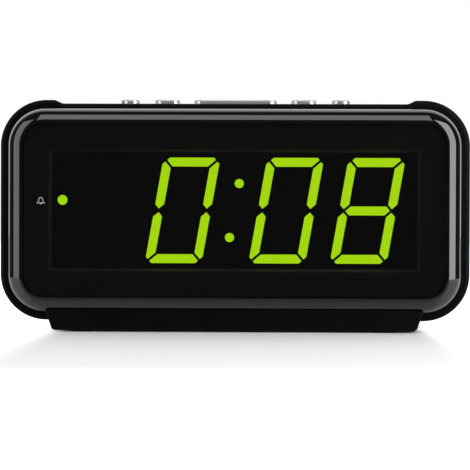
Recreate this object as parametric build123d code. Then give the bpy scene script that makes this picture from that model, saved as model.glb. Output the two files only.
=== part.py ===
# A digital LED desk clock, taken apart into its pieces.
# X runs to the clock's right as seen from the front, Y into its depth and Z up.
# The origin lies on the desk, under the middle of the clock.
# All lengths are millimetres and all angles are degrees.

import os
from math import radians, sin, tan

from build123d import *

overrun = 5.0                 # how far every cut runs past the stock

# Case
overall_depth = 48.0
case_width = 157.6
case_height = 74.0
case_corner = 15.5
case_wall = 1.7
case_draft_angle = 1.2
case_lift = 3.5               # desk to the underside of the case
rim_setback = 9.0             # front edge of the case behind the front of the bezel
rim_plate = 1.6               # thickness of the flange that the bezel sits on
rim_round = 1.2
deck_side_gap = 5.3           # corner round to the flat of the lower deck
deck_drop = 1.2
deck_slope_angle = 26.0
deck_round = 3.0
shoulder_round = 1.5
inner_round = 0.4             # least corner inside the shell
ledge_width = 1.2             # inner step that the rear cover rests on
ledge_depth = 1.5

# Bezel and lens
bezel_inset = 3.15            # case outline to bezel outline, above and below
bezel_side_inset = 3.35
bezel_roll = 4.8              # quarter round from the front to the side of the bezel
bezel_step = 0.8              # shoulder that bears on the front of the case
bezel_wall = 1.8
bezel_plate = 1.8
bezel_tuck = 4.0              # length of the bezel's skirt inside the case
bezel_gap = 0.1
shadow_gap_width = 0.4        # dark groove in the case round the bezel
shadow_gap_depth = 0.7
crown_land = 0.2
lens_thickness = 2.0
lens_recess = 0.4
lens_gap = 0.1
lens_bevel = 0.25
tape_thickness = 0.2
tape_margin = 0.2
window_side_margin = 9.6      # edge of the lens's pocket to the window
window_top_margin = 9.45
window_bevel = 0.9
window_round = 0.3

# Display
reflector_margin = 1.5
reflector_depth = 8.0
segment_sink = 0.15
segment_depth = 3.0
segment_play = 0.02
digit_margin = 1.4            # window to the digits, above and below
digit_pitch_share = 0.2223    # middles of a pair's digits, of the window's width
digit_width_share = 0.73      # of the pitch
stroke = 3.8
segment_gap = 0.8
digit_corner_cut = 2.4
slant_angle = 10.0
colon_pitch_share = 0.2836    # middles of the digits beside the colon, of the window's width
colon_end_inset = 9.0         # ends of the digits to the colon's dots
colon_diameter = 3.05
alarm_diameter = 3.3
alarm_dot_inset = 3.55
alarm_dot_rise = 3.35
chip_length = 1.6
chip_width = 0.8
chip_height = 0.7

# Main board
board_thickness = 1.6
board_gap = 0.5
board_screw_inset = 4.0
board_boss_radius = 2.5
controller_length = 17.9
controller_width = 7.5
controller_height = 2.3
controller_left = 20.0
lead_pitch = 1.27
lead_count = 14
lead_width = 0.5
lead_reach = 1.4
lead_height = 0.6
crystal_length = 11.0
crystal_width = 4.6
crystal_height = 3.5
crystal_drop = 11.0
capacitor_radius = 4.0
capacitor_height = 10.0
capacitor_groove = 0.5
capacitor_bevel = 0.4
capacitor_inset = 26.6        # edge of the board to the first can
capacitor_pitch = 10.0
capacitor_rise = 4.0
capacitor_count = 2

# Buttons, their switches and the board under them
row_setback = 11.5            # front edge of the case to the middle of the button row
button_depth = 6.5
button_corner = 2.8
button_rise = 1.9
button_edge = 0.45
button_gap = 0.25
button_travel = 0.8
button_wall = 1.3
flange_lip = 0.8
flange_thickness = 1.2
flange_gap = 0.25
snooze_width = 28.3
medium_width = 8.7
small_width = 6.4
medium_offset = 23.15
small_offset = 35.75
tact_side = 6.0
tact_height = 3.4
plunger_radius = 1.7
plunger_rise = 1.5
plunger_sink = 1.0
plunger_gap = 0.1
plunger_floor_gap = 0.2
key_board_thickness = 1.6
key_board_margin = 12.0
key_board_front_reach = 6.5
key_board_back_reach = 11.0
key_boss_radius = 2.4
key_boss_side = 8.5           # outer screw beyond the outer button
key_boss_inner = 15.0
key_boss_back = 8.0

# Rear cover
cover_recess = 0.6
cover_thickness = 2.8
cover_gap = 0.15
edge_break = 0.35             # bevel on the edges that a hand meets at the back
tower_inset = 5.6
tower_radius = 3.4
tower_floor = 3.0
tower_split_share = 0.6
tower_clearance = 0.5

# Slide switches on the rear cover
slide_drop = 18.5             # below the middle of the case
alarm_slide_share = 0.125     # places across the back, as shares of the case's width
dimmer_slide_share = 0.23
slide_body_length = 9.0
slide_body_width = 4.6
slide_body_depth = 3.6
slide_knob_length = 2.2
slide_knob_width = 2.4
slide_travel = 2.5
slide_gap = 0.15
slide_foot = 1.4
slide_well_depth = 1.5
slide_well_margin = 1.6
slide_knob_sink = 0.3
slide_knob_bevel = 0.25
slide_groove = 0.3
switch_board_thickness = 1.6
switch_board_height = 11.0
switch_board_margin = 10.5
switch_screw_inset = 3.2
switch_boss_radius = 2.3

# Adaptor inlet
jack_side_share = 0.36
jack_drop = 18.5
jack_barrel_radius = 4.0
jack_flange_radius = 5.4
jack_flange_thickness = 1.2
jack_bore_radius = 3.2
jack_bore_depth = 9.5
jack_length = 12.0
jack_gap = 0.1
jack_pin_radius = 1.0
jack_pin_sink = 0.9
jack_nut_radius = 5.8
jack_nut_thickness = 2.0
jack_nut_sides = 6

# Buzzer
buzzer_side_share = 0.23
buzzer_rise = 7.0
buzzer_radius = 11.5
buzzer_wall = 1.0
buzzer_depth = 6.5
buzzer_disc_thickness = 0.4
buzzer_disc_sink = 2.0
buzzer_ledge = 1.0
buzzer_gap = 0.15
cradle_wall = 1.3
cradle_height = 4.0
sound_slot_count = 5
sound_slot_width = 1.6
sound_slot_pitch = 3.4
sound_slot_margin = 3.0

# Battery bay for two AAA cells
bay_side_share = 0.17
bay_drop = 3.0
bay_length = 52.0
bay_height = 23.0
bay_depth = 11.2
bay_wall = 1.4
bay_rib_width = 1.6
bay_rib_height = 1.8
contact_width = 8.0
contact_thickness = 0.4
contact_reach = 4.6
contact_bend = 0.7
contact_edge_gap = 1.2
nub_radius = 1.6
nub_height = 0.8
door_margin = 2.0
door_thickness = 1.8
door_gap = 0.2
door_flush = 0.1
door_lug_radius = 0.6
door_lug_length = 1.4
door_lug_gap = 0.06
door_tab_width = 12.0
door_tab_height = 2.2
door_grip_count = 3
door_grip_pitch = 1.6
door_grip_radius = 0.4
finger_radius = 7.0
finger_depth = 1.3

# Stand and feet
stand_setback = 1.6
stand_back_setback = 4.0
stand_side_inset = 18.25
stand_flare_angle = 20.0
stand_gap = 0.1
stand_corner = 0.8
stand_edge = 0.6
lip_rise = 4.14               # top of the stand's lip above the underside of the case
lip_cut_run = 2.5
lip_cut_rise = 0.9
foot_radius = 4.5
foot_thickness = 1.5
foot_proud = 0.5
foot_round = 0.2
foot_side_inset = 10.0
foot_end_inset = 8.0
stand_screw_inset = 22.4
stand_screw_front = 13.0
stand_screw_back = 8.0
stand_boss_radius = 3.2
stand_boss_height = 1.0

# Screws
screw_head_radius = 2.5
screw_head_height = 1.8
screw_radius = 1.2
screw_play = 0.03
screw_hole_radius = 1.6
screw_bite = 8.0
small_screw_bite = 3.4
stand_screw_bite = 2.0
screw_tip_gap = 0.4
socket_radius = 1.3
socket_depth = 0.9

# Ribbons and leads
ribbon_width = 10.0
ribbon_thickness = 0.9
ribbon_bend = 4.0
ribbon_socket_margin = 1.2
ribbon_socket_width = 4.0
ribbon_socket_height = 3.0
key_ribbon_left = 30.0
key_ribbon_setback = 4.0
socket_edge_inset = 6.4       # edge of the main board to the sockets
ribbon_stub_share = 0.31      # straight ends of the cable, of its whole run
lead_radius = 0.6
lead_bend = 3.0
lead_stub_share = 0.28
lead_pair_gap = 3.0
pad_shift = 5.0

# Places worked out from the sizes
front_y = -overall_depth / 2
back_y = overall_depth / 2
rim_y = front_y + rim_setback
bezel_back_y = rim_y + bezel_tuck
lens_front_y = front_y + lens_recess
lens_back_y = lens_front_y + lens_thickness
plate_front_y = lens_back_y + tape_thickness
plate_back_y = plate_front_y + bezel_plate
board_front_y = plate_back_y + reflector_depth
board_back_y = board_front_y + board_thickness
cover_back_y = back_y - cover_recess
cover_front_y = cover_back_y - cover_thickness
tower_split_y = plate_back_y + tower_split_share * (cover_front_y - plate_back_y)
row_y = rim_y + row_setback
top_z = case_lift + case_height
mid_z = case_lift + case_height / 2
deck_z = top_z - deck_drop
deck_width = case_width - 2 * (case_corner + deck_side_gap)

bezel_width = case_width - 2 * bezel_side_inset
bezel_height = case_height - 2 * bezel_inset
bezel_corner = case_corner - bezel_inset
cavity_inset = bezel_step + bezel_wall
cavity_half_width = bezel_width / 2 - cavity_inset
cavity_half_height = bezel_height / 2 - cavity_inset
pocket_inset = bezel_roll + crown_land
window_width = bezel_width - 2 * (pocket_inset + window_side_margin)
window_height = bezel_height - 2 * (pocket_inset + window_top_margin)
digit_height = window_height - 2 * digit_margin
digit_pitch = digit_pitch_share * window_width
digit_width = digit_width_share * digit_pitch
colon_pitch = colon_pitch_share * window_width
colon_spread = digit_height - 2 * colon_end_inset
reflector_width = window_width + 2 * reflector_margin
reflector_height = window_height + 2 * reflector_margin
board_width = 2 * (cavity_half_width - board_gap)


def draft(y):
    # how far the case's sides have drawn in at this depth
    return (y - rim_y) * tan(radians(case_draft_angle))


deck_row_z = deck_z - draft(row_y)
flange_top_z = deck_row_z - case_wall - flange_gap
plunger_top_z = flange_top_z - flange_thickness
tact_top_z = plunger_top_z - plunger_rise
key_board_top_z = tact_top_z - tact_height
key_board_bottom_z = key_board_top_z - key_board_thickness

tower_x = cavity_half_width - tower_inset
tower_z = cavity_half_height - tower_inset
tower_places = [(sx * tower_x, mid_z + sz * tower_z) for sx in (-1, 1) for sz in (-1, 1)]
board_screw_x = board_width / 2 - board_screw_inset
board_screw_z = reflector_height / 2 - board_screw_inset
board_screw_places = [
    (sx * board_screw_x, mid_z + sz * board_screw_z) for sx in (-1, 1) for sz in (-1, 1)
]
key_screw_places = [
    (sx * x, y)
    for sx in (-1, 1)
    for x, y in ((small_offset + key_boss_side, row_y), (key_boss_inner, row_y + key_boss_back))
]
stand_bottom_width = case_width - 2 * stand_side_inset
stand_screw_side = stand_bottom_width / 2 - stand_screw_inset
stand_screw_places = [
    (sx * stand_screw_side, y)
    for sx in (-1, 1)
    for y in (rim_y + stand_screw_front, back_y - stand_screw_back - stand_back_setback)
]
slide_z = mid_z - slide_drop
alarm_slide_right = alarm_slide_share * case_width
dimmer_slide_right = dimmer_slide_share * case_width
switch_board_left = alarm_slide_right - switch_board_margin
switch_board_right = dimmer_slide_right + switch_board_margin
switch_screw_places = [
    (switch_board_left + switch_screw_inset, slide_z),
    (switch_board_right - switch_screw_inset, slide_z),
]
slide_back_y = cover_front_y - slide_body_depth
jack_right = jack_side_share * case_width
jack_z = mid_z - jack_drop
jack_end_y = cover_back_y - jack_length
buzzer_right = buzzer_side_share * case_width
buzzer_z = mid_z + buzzer_rise
bay_left = bay_side_share * case_width
bay_z = mid_z - bay_drop
bay_floor_y = cover_front_y - bay_depth
door_width = bay_length + 2 * door_margin
door_height = bay_height + 2 * door_margin
door_back_y = cover_back_y - door_flush
door_front_y = door_back_y - door_thickness
hinge_y = door_back_y - door_thickness / 2
hinge_z = bay_z - door_height / 2 + door_thickness / 2
stand_front_y = front_y + stand_setback
stand_back_y = back_y - stand_back_setback
button_places = {
    "hour": (-small_offset, small_width),
    "minute": (-medium_offset, medium_width),
    "snooze": (0, snooze_width),
    "time": (medium_offset, medium_width),
    "alarm": (small_offset, small_width),
}


def prism(face, y0, y1):
    # a flat outline in X and Z, carried from depth y0 to depth y1
    return extrude(Plane.XZ.offset(-y1) * face, amount=y1 - y0, dir=(0, -1, 0))


def upright(face, z0, z1):
    # a plan outline in X and Y, carried from height z0 to height z1
    return extrude(Pos(0, 0, z0) * face, amount=z1 - z0, dir=(0, 0, 1))


def rod_x(radius, y, z, x0, x1):
    return extrude(Plane.YZ.offset(x0) * Pos(y, z) * Circle(radius), amount=x1 - x0, dir=(1, 0, 0))


def rod_y(radius, x, z, y0, y1):
    return prism(Pos(x, z) * Circle(radius), y0, y1)


def rod_z(radius, x, y, z0, z1):
    return upright(Pos(x, y) * Circle(radius), z0, z1)


def group(shapes):
    return Compound([solid for shape in shapes for solid in shape.solids()])


def case_profile(inset):
    # the case's front outline: a rounded box whose top drops to the deck between two shoulders
    half = case_width / 2 - inset
    slope = radians(deck_slope_angle)
    foot = deck_width / 2 + inset * tan(slope / 2)
    edge = foot + deck_drop / tan(slope)
    corner = case_corner - inset
    outer = max(shoulder_round - inset, inner_round)
    inner = deck_round + inset
    low, high, deck = case_lift + inset, top_z - inset, deck_z - inset
    points = [
        (-half, low), (half, low), (half, high), (edge, high),
        (foot, deck), (-foot, deck), (-edge, high), (-half, high),
    ]
    radii = [corner, corner, corner, outer, inner, inner, outer, corner]
    return make_face(FilletPolyline(*points, radius=radii, close=True))


def case_block(inset, y0, y1):
    # the case's drafted form between two depths, drawn in by the inset
    ends = [Plane.XZ.offset(-y) * case_profile(inset + draft(y)) for y in (y0, y1)]
    return loft(ends, ruled=True)


def bezel_outline(inset):
    return Pos(0, mid_z) * RectangleRounded(
        bezel_width - 2 * inset, bezel_height - 2 * inset, bezel_corner - inset
    )


def bezel_block(grow):
    # the bezel's outer form with its quarter-round front edge, larger all round by grow
    block = prism(bezel_outline(-grow), front_y - grow, rim_y)
    front = block.faces().sort_by(Axis.Y)[0]
    return fillet(front.edges(), bezel_roll + grow)


def window_face(grow):
    return Pos(0, mid_z) * RectangleRounded(
        window_width + 2 * grow, window_height + 2 * grow, window_round + grow
    )


def cabinet():
    shell = case_block(0, rim_y, back_y)
    ends = shell.faces().sort_by(Axis.Y)
    shell = fillet(ends[0].edges() + ends[-1].edges(), rim_round)
    shell -= case_block(case_wall, rim_y + rim_plate, back_y + overrun)
    shell -= prism(bezel_outline(bezel_step - bezel_gap), rim_y - overrun, bezel_back_y + bezel_gap)
    groove = bezel_outline(-shadow_gap_width) - bezel_outline(0)
    shell -= prism(groove, rim_y - overrun, rim_y + shadow_gap_depth)
    ledge = case_block(case_wall / 2, cover_front_y - ledge_depth, cover_front_y)
    ledge -= case_block(case_wall + ledge_width, cover_front_y - ledge_depth - overrun, back_y)
    shell += ledge
    for x, y in key_screw_places:
        shell += rod_z(key_boss_radius, x, y, key_board_top_z, deck_z - draft(y) - case_wall / 2)
        shell -= rod_z(
            screw_radius + screw_play, x, y, key_board_top_z - overrun,
            key_board_top_z + small_screw_bite + screw_tip_gap,
        )
    for x, y in stand_screw_places:
        floor = case_lift + draft(y) + case_wall
        shell += rod_z(stand_boss_radius, x, y, floor - case_wall / 2, floor + stand_boss_height)
        shell -= rod_z(screw_hole_radius, x, y, case_lift - overrun, floor + overrun)
    for x, width in button_places.values():
        hole = Pos(x, row_y) * RectangleRounded(
            width + 2 * button_gap, button_depth + 2 * button_gap, button_corner + button_gap
        )
        shell -= upright(hole, flange_top_z, top_z + overrun)
    return shell


def front_bezel():
    body = bezel_block(0)
    body += prism(bezel_outline(bezel_step), rim_y, bezel_back_y)
    body -= prism(bezel_outline(pocket_inset), front_y - overrun, plate_front_y)
    body -= prism(bezel_outline(cavity_inset), plate_back_y, bezel_back_y + overrun)
    body -= prism(window_face(0), plate_front_y - overrun, plate_back_y + overrun)
    body -= loft(
        [
            Plane.XZ.offset(-plate_front_y) * window_face(window_bevel),
            Plane.XZ.offset(-plate_front_y - window_bevel) * window_face(0),
        ],
        ruled=True,
    )
    for x, z in tower_places:
        body += rod_y(tower_radius, x, z, plate_back_y, tower_split_y)
        body -= rod_y(
            screw_radius + screw_play, x, z,
            tower_split_y - screw_bite - screw_tip_gap, tower_split_y + overrun,
        )
    for x, z in board_screw_places:
        body += rod_y(board_boss_radius, x, z, plate_back_y, board_front_y)
        body -= rod_y(
            screw_radius + screw_play, x, z,
            board_front_y - small_screw_bite - screw_tip_gap, board_front_y + overrun,
        )
    return body


def display_lens():
    pane = prism(bezel_outline(pocket_inset + lens_gap), lens_front_y, lens_back_y)
    return chamfer(pane.faces().sort_by(Axis.Y)[0].edges(), lens_bevel)


def lens_tape():
    ring = bezel_outline(pocket_inset + lens_gap + tape_margin) - window_face(window_bevel + tape_margin)
    return prism(ring, lens_back_y, plate_front_y)


def segment_outlines():
    # the seven bars of one digit about its middle, mitred at the corners and leaning to the right
    half, rise, mid = digit_width / 2, digit_height / 2, stroke / 2
    cut, lean = digit_corner_cut, tan(radians(slant_angle))
    inner, drop = half - stroke, rise - stroke
    top = [
        (cut - half, rise), (half - cut, rise), (half - cut / 2, rise - cut / 2),
        (inner, drop), (-inner, drop), (cut / 2 - half, rise - cut / 2),
    ]
    right = [
        (half, rise - cut), (half - cut / 2, rise - cut / 2), (inner, drop),
        (inner, mid), (half - mid, 0), (half, mid),
    ]
    bar = [(mid - half, 0), (-inner, mid), (inner, mid), (half - mid, 0), (inner, -mid), (-inner, -mid)]
    mirrored = {
        "a": (top, 1, 1), "d": (top, 1, -1), "b": (right, 1, 1), "c": (right, 1, -1),
        "f": (right, -1, 1), "e": (right, -1, -1), "g": (bar, 1, 1),
    }
    faces = {}
    for name, (points, sx, sz) in mirrored.items():
        leaning = [(sx * x + sz * z * lean, sz * z) for x, z in points]
        outline = make_face(Polyline(*leaning, close=True))
        faces[name] = offset(outline, amount=-segment_gap / 2, kind=Kind.INTERSECTION)
    return faces


segments = segment_outlines()
digit_places = {
    "hour_tens": -colon_pitch / 2 - digit_pitch,
    "hour_units": -colon_pitch / 2,
    "minute_tens": colon_pitch / 2,
    "minute_units": colon_pitch / 2 + digit_pitch,
}
colon_lean = colon_spread / 2 * tan(radians(slant_angle))
colon_places = [
    (side * colon_lean, mid_z + side * colon_spread / 2) for side in (-1, 1)
]
alarm_dot_place = (alarm_dot_inset - window_width / 2, mid_z + alarm_dot_rise)


def bar_faces(digit, names):
    return [Pos(digit_places[digit], mid_z) * segments[name] for name in names]


colon_faces = [Pos(*place) * Circle(colon_diameter / 2) for place in colon_places]
alarm_face = Pos(*alarm_dot_place) * Circle(alarm_diameter / 2)


def light_wells():
    bars = [face for digit in digit_places for face in bar_faces(digit, "abcdefg")]
    return bars + colon_faces + [alarm_face]


def light_guides(faces):
    # clear bars that fill the front of their wells, a little below the reflector's face
    front = plate_back_y + segment_sink
    slim = [offset(face, amount=-segment_play, kind=Kind.INTERSECTION) for face in faces]
    return group([prism(face, front, front + segment_depth) for face in slim])


def led_reflector():
    block = prism(
        Pos(0, mid_z) * Rectangle(reflector_width, reflector_height), plate_back_y, board_front_y
    )
    for face in light_wells():
        block -= prism(face, plate_back_y - overrun, board_front_y + overrun)
    for x, z in tower_places:
        block -= rod_y(tower_radius + tower_clearance, x, z, plate_back_y - overrun, board_back_y)
    for x, z in board_screw_places:
        block -= rod_y(board_boss_radius + board_gap, x, z, plate_back_y - overrun, board_back_y)
    return block


def led_chips():
    chips = []
    for face in light_wells():
        middle = face.center()
        outline = Pos(middle.X, middle.Y) * Rectangle(chip_length, chip_width)
        chips.append(prism(outline, board_front_y - chip_height, board_front_y))
    return group(chips)


def main_board():
    board = prism(
        Pos(0, mid_z) * Rectangle(board_width, reflector_height), board_front_y, board_back_y
    )
    for x, z in tower_places:
        board -= rod_y(tower_radius + tower_clearance, x, z, board_front_y - overrun, tower_split_y)
    for x, z in board_screw_places:
        board -= rod_y(screw_hole_radius, x, z, board_front_y - overrun, board_back_y + overrun)
    return board


def controller_chip():
    # a flat package with a row of leads along each long side
    body = prism(
        Pos(-controller_left, mid_z) * Rectangle(controller_length, controller_width),
        board_back_y, board_back_y + controller_height,
    )
    row = (lead_count - 1) * lead_pitch
    for i in range(lead_count):
        x = -controller_left - row / 2 + i * lead_pitch
        lead = Pos(x, mid_z) * Rectangle(lead_width, controller_width + 2 * lead_reach)
        body += prism(lead, board_back_y, board_back_y + lead_height)
    return body


def quartz_crystal():
    outline = Pos(-controller_left, mid_z - crystal_drop) * SlotOverall(crystal_length, crystal_width)
    return prism(outline, board_back_y, board_back_y + crystal_height)


def filter_capacitors():
    cans = []
    for i in range(capacitor_count):
        x = board_width / 2 - capacitor_inset + i * capacitor_pitch
        z = mid_z + capacitor_rise
        can = rod_y(capacitor_radius, x, z, board_back_y, board_back_y + capacitor_height)
        can = chamfer(can.faces().sort_by(Axis.Y)[-1].edges(), capacitor_bevel)
        score = Pos(x, z) * Rectangle(capacitor_radius, capacitor_groove)
        top = board_back_y + capacitor_height
        cans.append(can - prism(score, top - capacitor_groove, top + overrun))
    return group(cans)


key_ribbon_y = row_y + key_ribbon_setback
socket_rise = reflector_height / 2 - socket_edge_inset
key_socket_z = mid_z + socket_rise
switch_ribbon_x = (alarm_slide_right + dimmer_slide_right) / 2
switch_socket_z = mid_z - socket_rise
socket_back_y = board_back_y + ribbon_socket_height


def ribbon_sockets():
    outline = Rectangle(ribbon_width + 2 * ribbon_socket_margin, ribbon_socket_width)
    places = ((-key_ribbon_left, key_socket_z), (switch_ribbon_x, switch_socket_z))
    return group([prism(Pos(x, z) * outline, board_back_y, socket_back_y) for x, z in places])


def ribbon(points, x):
    # a flat cable seen edge-on in Y and Z, as wide as the ribbon about x
    strip = trace(FilletPolyline(*points, radius=ribbon_bend), line_width=ribbon_thickness)
    side = Plane.YZ.offset(x - ribbon_width / 2)
    return extrude(side * strip, amount=ribbon_width, dir=(1, 0, 0))


def key_ribbon():
    points = [
        (key_ribbon_y, key_board_bottom_z), (key_ribbon_y, key_socket_z), (socket_back_y, key_socket_z)
    ]
    return ribbon(points, -key_ribbon_left)


def switch_ribbon():
    start = slide_back_y - switch_board_thickness
    stub = ribbon_stub_share * (start - socket_back_y)
    points = [
        (start, slide_z), (start - stub, slide_z),
        (socket_back_y + stub, switch_socket_z), (socket_back_y, switch_socket_z),
    ]
    return ribbon(points, switch_ribbon_x)


def button(x, width, hollow):
    # a plated cap on a flange that is caught under the deck
    cap = Pos(x, row_y) * RectangleRounded(width, button_depth, button_corner)
    body = upright(cap, plunger_top_z, deck_row_z + button_rise)
    body = fillet(body.faces().sort_by(Axis.Z)[-1].edges(), button_edge)
    lip = Pos(x, row_y) * RectangleRounded(
        width + 2 * flange_lip, button_depth + 2 * flange_lip, button_corner + flange_lip
    )
    body += upright(lip, plunger_top_z, flange_top_z)
    if hollow:
        inside = Pos(x, row_y) * RectangleRounded(
            width - 2 * button_wall, button_depth - 2 * button_wall, button_corner - button_wall
        )
        room = upright(inside, plunger_top_z - overrun, deck_row_z + button_rise - button_wall)
        room -= rod_z(plunger_radius, x, row_y, plunger_top_z - overrun, top_z + overrun)
        body -= room
    return body


def plunger(x):
    return rod_z(plunger_radius, x, row_y, tact_top_z - plunger_sink, plunger_top_z)


def tact_switch_bodies():
    bodies = []
    for x, _ in button_places.values():
        body = upright(Pos(x, row_y) * Rectangle(tact_side, tact_side), key_board_top_z, tact_top_z)
        floor = tact_top_z - plunger_sink - button_travel - plunger_floor_gap
        bodies.append(body - rod_z(plunger_radius + plunger_gap, x, row_y, floor, tact_top_z + overrun))
    return group(bodies)


def key_board():
    half = small_offset + key_board_margin
    depth = key_board_front_reach + key_board_back_reach
    middle = row_y + (key_board_back_reach - key_board_front_reach) / 2
    board = upright(Pos(0, middle) * Rectangle(2 * half, depth), key_board_bottom_z, key_board_top_z)
    for x, y in key_screw_places:
        board -= rod_z(screw_hole_radius, x, y, key_board_bottom_z - overrun, key_board_top_z + overrun)
    return board


def sound_slots():
    # level slots that fill a round patch in front of the buzzer
    reach = buzzer_radius - sound_slot_margin
    slots = []
    for i in range(sound_slot_count):
        rise = (i - (sound_slot_count - 1) / 2) * sound_slot_pitch
        length = 2 * max(reach**2 - rise**2, sound_slot_width**2) ** 0.5
        slots.append(Pos(buzzer_right, buzzer_z + rise) * SlotOverall(length, sound_slot_width))
    return slots


def slide_slot(x, grow):
    # the window that a slide knob runs in
    return Pos(x, slide_z) * Rectangle(
        slide_knob_length + slide_travel + 2 * grow, slide_knob_width + 2 * grow
    )


def door_face(grow):
    # the battery door's outline with its latch tab on the top edge
    plate = Rectangle(door_width + 2 * grow, door_height + 2 * grow)
    tab = Pos(0, door_height / 2) * Rectangle(
        door_tab_width + 2 * grow, 2 * (door_tab_height + grow)
    )
    return Pos(-bay_left, bay_z) * (plate + tab)


def rear_cover():
    cover = case_block(case_wall + cover_gap, cover_front_y, cover_back_y)
    cover = chamfer(cover.faces().sort_by(Axis.Y)[-1].edges(), edge_break)
    for x, z in tower_places:
        cover += rod_y(tower_radius, x, z, tower_split_y, cover_front_y + cover_thickness / 2)
        cover -= rod_y(screw_hole_radius, x, z, tower_split_y - overrun, cover_back_y)
        cover -= rod_y(
            screw_head_radius + tower_clearance, x, z, tower_split_y + tower_floor, back_y + overrun
        )
    bay = Pos(-bay_left, bay_z) * Rectangle(bay_length, bay_height)
    cover -= prism(bay, cover_front_y - overrun, back_y + overrun)
    cover -= prism(door_face(door_gap), door_front_y - door_flush, back_y + overrun)
    lug_reach = door_width / 2 + door_lug_length + door_gap
    cover -= rod_x(
        door_lug_radius + door_lug_gap, hinge_y, hinge_z, -bay_left - lug_reach, lug_reach - bay_left
    )
    scoop_z = bay_z + door_height / 2 + door_tab_height
    cover -= rod_y(finger_radius, -bay_left, scoop_z, cover_back_y - finger_depth, back_y + overrun)
    for x in (alarm_slide_right, dimmer_slide_right):
        length = slide_knob_length + slide_travel + 2 * slide_well_margin
        well = Pos(x, slide_z) * RectangleRounded(
            length, slide_knob_width + 2 * slide_well_margin, slide_well_margin
        )
        cover -= prism(well, cover_back_y - slide_well_depth, back_y + overrun)
        cover -= prism(slide_slot(x, slide_gap), cover_front_y - overrun, back_y + overrun)
    for x, z in switch_screw_places:
        cover += rod_y(switch_boss_radius, x, z, slide_back_y, cover_front_y + cover_thickness / 2)
        tip = slide_back_y + small_screw_bite + screw_tip_gap
        cover -= rod_y(screw_radius + screw_play, x, z, slide_back_y - overrun, tip)
    cover -= rod_y(jack_barrel_radius + jack_gap, jack_right, jack_z, cover_front_y - overrun, back_y)
    cover -= rod_y(
        jack_flange_radius + jack_gap, jack_right, jack_z,
        cover_back_y - jack_flange_thickness, back_y + overrun,
    )
    cradle = buzzer_radius + buzzer_gap
    cover += rod_y(
        cradle + cradle_wall, buzzer_right, buzzer_z,
        cover_front_y - cradle_height, cover_front_y + cover_thickness / 2,
    ) - rod_y(cradle, buzzer_right, buzzer_z, cover_front_y - cradle_height - overrun, cover_front_y)
    for slot in sound_slots():
        cover -= prism(slot, cover_front_y - overrun, back_y + overrun)
    return cover


def slide_switch_bodies():
    bodies = []
    for x in (alarm_slide_right, dimmer_slide_right):
        outline = Pos(x, slide_z) * Rectangle(slide_body_length, slide_body_width)
        body = prism(outline, slide_back_y, cover_front_y)
        track = cover_front_y - slide_foot - slide_gap
        bodies.append(body - prism(slide_slot(x, slide_gap), track, cover_front_y + overrun))
    return group(bodies)


def slide_knob(x):
    # the knob rests at the left end of its slot, with two grip grooves across its face
    left = x - slide_travel / 2
    tip = cover_back_y - slide_knob_sink
    outline = Pos(left, slide_z) * Rectangle(slide_knob_length, slide_knob_width)
    knob = prism(outline, cover_front_y - slide_foot, tip)
    knob = chamfer(knob.faces().sort_by(Axis.Y)[-1].edges(), slide_knob_bevel)
    for side in (-1, 1):
        groove = Pos(left + side * slide_knob_length / 4, slide_z) * Rectangle(
            slide_groove, slide_knob_width + overrun
        )
        knob -= prism(groove, tip - slide_groove, tip + overrun)
    return knob


def switch_board():
    middle = (switch_board_left + switch_board_right) / 2
    board = prism(
        Pos(middle, slide_z) * Rectangle(switch_board_right - switch_board_left, switch_board_height),
        slide_back_y - switch_board_thickness, slide_back_y,
    )
    for x, z in switch_screw_places:
        board -= rod_y(
            screw_hole_radius, x, z, slide_back_y - switch_board_thickness - overrun, cover_front_y
        )
    return board


def dc_jack():
    body = rod_y(jack_barrel_radius, jack_right, jack_z, jack_end_y, cover_back_y)
    body += rod_y(
        jack_flange_radius, jack_right, jack_z, cover_back_y - jack_flange_thickness, cover_back_y
    )
    body -= rod_y(
        jack_bore_radius, jack_right, jack_z, cover_back_y - jack_bore_depth, back_y + overrun
    )
    return chamfer(body.faces().sort_by(Axis.Y)[-1].edges(), edge_break)


def dc_jack_pin():
    return rod_y(
        jack_pin_radius, jack_right, jack_z,
        cover_back_y - jack_bore_depth, cover_back_y - jack_pin_sink,
    )


def dc_jack_nut():
    hexagon = Pos(jack_right, jack_z) * RegularPolygon(jack_nut_radius, jack_nut_sides)
    hexagon -= Pos(jack_right, jack_z) * Circle(jack_barrel_radius + jack_gap)
    return prism(hexagon, cover_front_y - jack_nut_thickness, cover_front_y)


def buzzer_case():
    mouth = cover_front_y
    floor = mouth - buzzer_depth
    cup = rod_y(buzzer_radius, buzzer_right, buzzer_z, floor, mouth)
    bore = buzzer_radius - buzzer_wall
    cup -= rod_y(bore, buzzer_right, buzzer_z, mouth - buzzer_disc_sink, mouth + overrun)
    return cup - rod_y(
        bore - buzzer_ledge, buzzer_right, buzzer_z, floor + buzzer_wall, mouth + overrun
    )


def buzzer_disc():
    seat = cover_front_y - buzzer_disc_sink
    radius = buzzer_radius - buzzer_wall - buzzer_gap
    return rod_y(radius, buzzer_right, buzzer_z, seat, seat + buzzer_disc_thickness)


def battery_tray():
    outside = Pos(-bay_left, bay_z) * Rectangle(bay_length + 2 * bay_wall, bay_height + 2 * bay_wall)
    inside = Pos(-bay_left, bay_z) * Rectangle(bay_length, bay_height)
    tray = prism(outside, bay_floor_y - bay_wall, cover_front_y)
    tray -= prism(inside, bay_floor_y, cover_front_y + overrun)
    rib = Pos(-bay_left, bay_z) * Rectangle(bay_length, bay_rib_width)
    return tray + prism(rib, bay_floor_y - bay_wall / 2, bay_floor_y + bay_rib_height)


def bay_end(side):
    return side * bay_length / 2 - bay_left


def cell_z(side):
    return bay_z + side * bay_height / 4


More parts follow.
